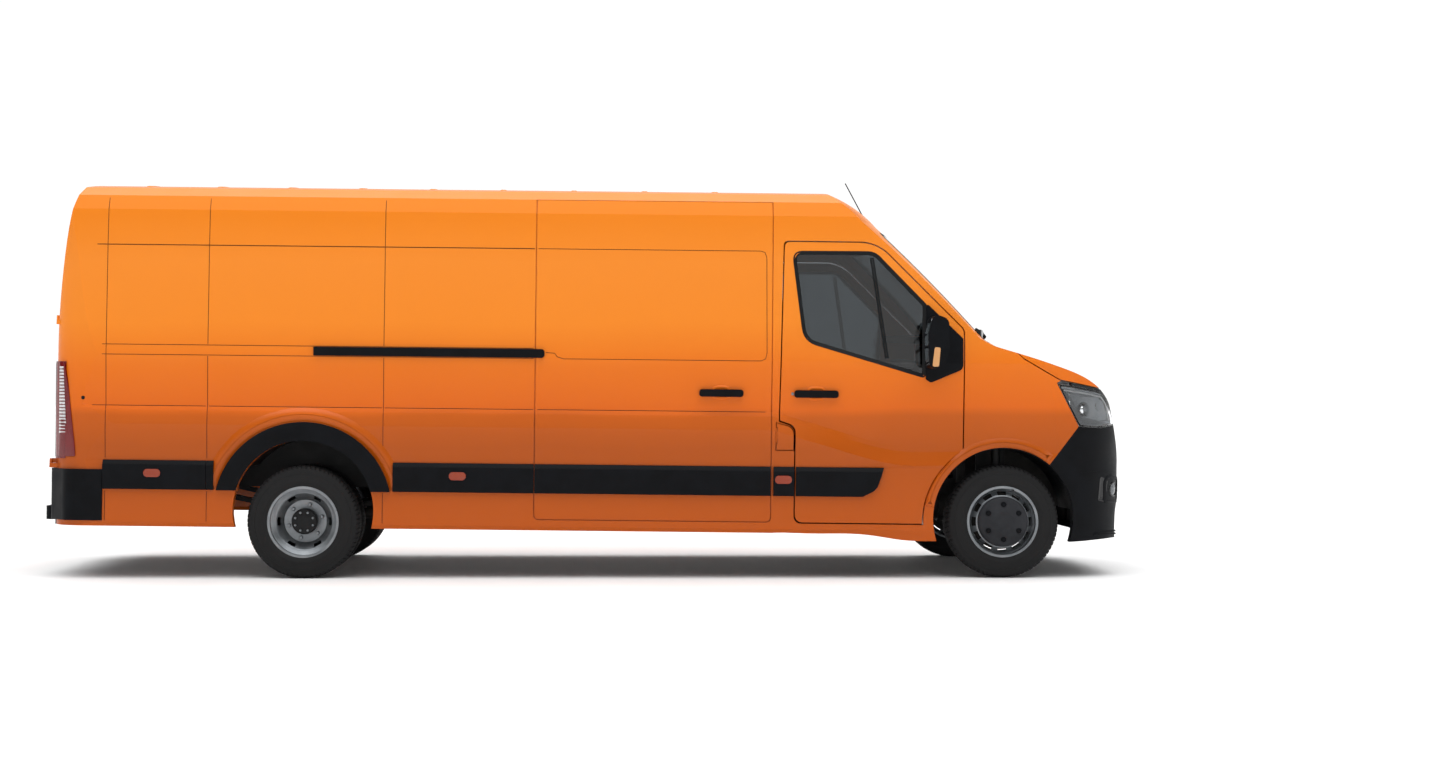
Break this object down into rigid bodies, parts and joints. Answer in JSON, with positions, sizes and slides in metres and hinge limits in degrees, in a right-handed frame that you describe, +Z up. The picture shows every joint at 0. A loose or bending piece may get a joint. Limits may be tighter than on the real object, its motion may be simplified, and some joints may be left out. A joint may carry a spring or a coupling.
{
  "type": "high-roof panel van",
  "caption": "High-roof, extra-long panel van with twin rear wheels, hinged cab and rear doors, a bonnet and steering, in orange with black plastic trim.",
  "frame": {"origin": "on the ground, below the middle of the van's length and width", "axes": "+X to the front along the van, +Y to its left side, +Z up"},
  "size_m": [6.8514, 2.47, 2.549],
  "materials": {
    "orange_paint": "glossy",
    "black_plastic": "grained",
    "dark_trim": "soft grain",
    "window_glass": "tinted",
    "lamp_glass": "clear",
    "red_lens": "glossy",
    "tyre_rubber": "moulded",
    "wheel_steel": "painted silver",
    "chassis_steel": "waxed",
    "floor_steel": "primer",
    "seat_cloth": "woven",
    "tank_plastic": "moulded"
  },
  "bodies": {
    "body": {"floor_pan": "floor_steel", "wheel_boxes": "floor_steel", "chassis_frame": "chassis_steel", "cab_floor": "floor_steel", "side_wall_left": "orange_paint", "side_wall_right": "orange_paint", "roof_panel": "orange_paint", "cab_frame": "orange_paint", "front_wings": "orange_paint", "front_bumper": "black_plastic", "grille": "black_plastic", "headlamps": "lamp_glass", "windscreen": "window_glass", "sliding_door": "orange_paint", "sliding_door_fittings": "black_plastic", "side_mouldings": "black_plastic", "rear_bumper": "black_plastic", "tail_lamps": "red_lens", "side_markers": "red_lens", "antenna": "black_plastic", "dashboard": "dark_trim", "cab_seats": "seat_cloth", "bulkhead": "dark_trim", "engine": "chassis_steel", "front_suspension": "chassis_steel", "rear_axle": "chassis_steel", "driveline": "chassis_steel", "fuel_tank": "tank_plastic", "exhaust": "chassis_steel", "spare_wheel": "tyre_rubber"},
    "bonnet": {"bonnet": "orange_paint"},
    "cab_door_right": {"cab_door_right": "orange_paint", "cab_glass_right": "window_glass", "mirror_right": "black_plastic", "door_trim_right": "black_plastic"},
    "cab_door_left": {"cab_door_left": "orange_paint", "cab_glass_left": "window_glass", "mirror_left": "black_plastic", "door_trim_left": "black_plastic"},
    "rear_door_right": {"rear_door_right": "orange_paint"},
    "rear_door_left": {"rear_door_left": "orange_paint"},
    "fuel_flap": {"fuel_flap": "orange_paint"},
    "steering_wheel": {"steering_wheel": "dark_trim"},
    "front_knuckle_right": {"front_knuckle_right": "chassis_steel"},
    "front_knuckle_left": {"front_knuckle_left": "chassis_steel"},
    "front_wheel_right": {"front_tyre_right": "tyre_rubber", "front_rim_right": "wheel_steel"},
    "front_wheel_left": {"front_tyre_left": "tyre_rubber", "front_rim_left": "wheel_steel"},
    "rear_wheels_right": {"rear_tyres_right": "tyre_rubber", "rear_rims_right": "wheel_steel"},
    "rear_wheels_left": {"rear_tyres_left": "tyre_rubber", "rear_rims_left": "wheel_steel"}
  },
  "joints": [
    {"name": "cab_door_right_hinge", "type": "hinge", "parent": "body", "child": "cab_door_right", "pos_m": [2.32506, -1.004, 1.00282], "axis": [0.0108, 0, 0.9999], "range_deg": [0, 70]},
    {"name": "cab_door_left_hinge", "type": "hinge", "parent": "body", "child": "cab_door_left", "pos_m": [2.32506, 1.004, 1.00282], "axis": [-0.0108, 0, -0.9999], "range_deg": [0, 70]},
    {"name": "rear_door_right_hinge", "type": "hinge", "parent": "body", "child": "rear_door_right", "pos_m": [-3.34142, -0.865, 0.71212], "axis": [0.0508, 0, 0.9987], "range_deg": [0, 180]},
    {"name": "rear_door_left_hinge", "type": "hinge", "parent": "body", "child": "rear_door_left", "pos_m": [-3.34142, 0.865, 0.71212], "axis": [-0.0508, 0, -0.9987], "range_deg": [0, 180]},
    {"name": "bonnet_hinge", "type": "hinge", "parent": "body", "child": "bonnet", "pos_m": [2.67374, 0, 1.43307], "axis": [0, -1, 0], "range_deg": [0, 55]},
    {"name": "fuel_flap_hinge", "type": "hinge", "parent": "body", "child": "fuel_flap", "pos_m": [1.17572, -1.019, 0.88475], "axis": [-0.0108, 0, -0.9999], "range_deg": [0, 100]},
    {"name": "steering", "type": "hinge", "parent": "body", "child": "steering_wheel", "pos_m": [1.99413, 0.43, 1.19641], "axis": [-0.7359, 0, 0.6771], "range_deg": [-540, 540]},
    {"name": "steer_right", "type": "hinge", "parent": "body", "child": "front_knuckle_right", "pos_m": [2.582, -0.735, 0.349], "axis": [0, 0, 1], "range_deg": [-35, 35]},
    {"name": "steer_left", "type": "hinge", "parent": "body", "child": "front_knuckle_left", "pos_m": [2.582, 0.735, 0.349], "axis": [0, 0, 1], "range_deg": [-35, 35]},
    {"name": "front_wheel_right_spin", "type": "hinge", "parent": "front_knuckle_right", "child": "front_wheel_right", "pos_m": [2.582, -0.875, 0.349], "axis": [0, 1, 0], "continuous": true},
    {"name": "front_wheel_left_spin", "type": "hinge", "parent": "front_knuckle_left", "child": "front_wheel_left", "pos_m": [2.582, 0.875, 0.349], "axis": [0, 1, 0], "continuous": true},
    {"name": "rear_wheels_right_spin", "type": "hinge", "parent": "body", "child": "rear_wheels_right", "pos_m": [-1.75, -0.806, 0.349], "axis": [0, 1, 0], "continuous": true},
    {"name": "rear_wheels_left_spin", "type": "hinge", "parent": "body", "child": "rear_wheels_left", "pos_m": [-1.75, 0.806, 0.349], "axis": [0, 1, 0], "continuous": true}
  ],
  "couplings": [
    {"joint": "steer_right", "follows": "steering", "ratio": 0.064815},
    {"joint": "steer_left", "follows": "steering", "ratio": 0.064815}
  ]
}
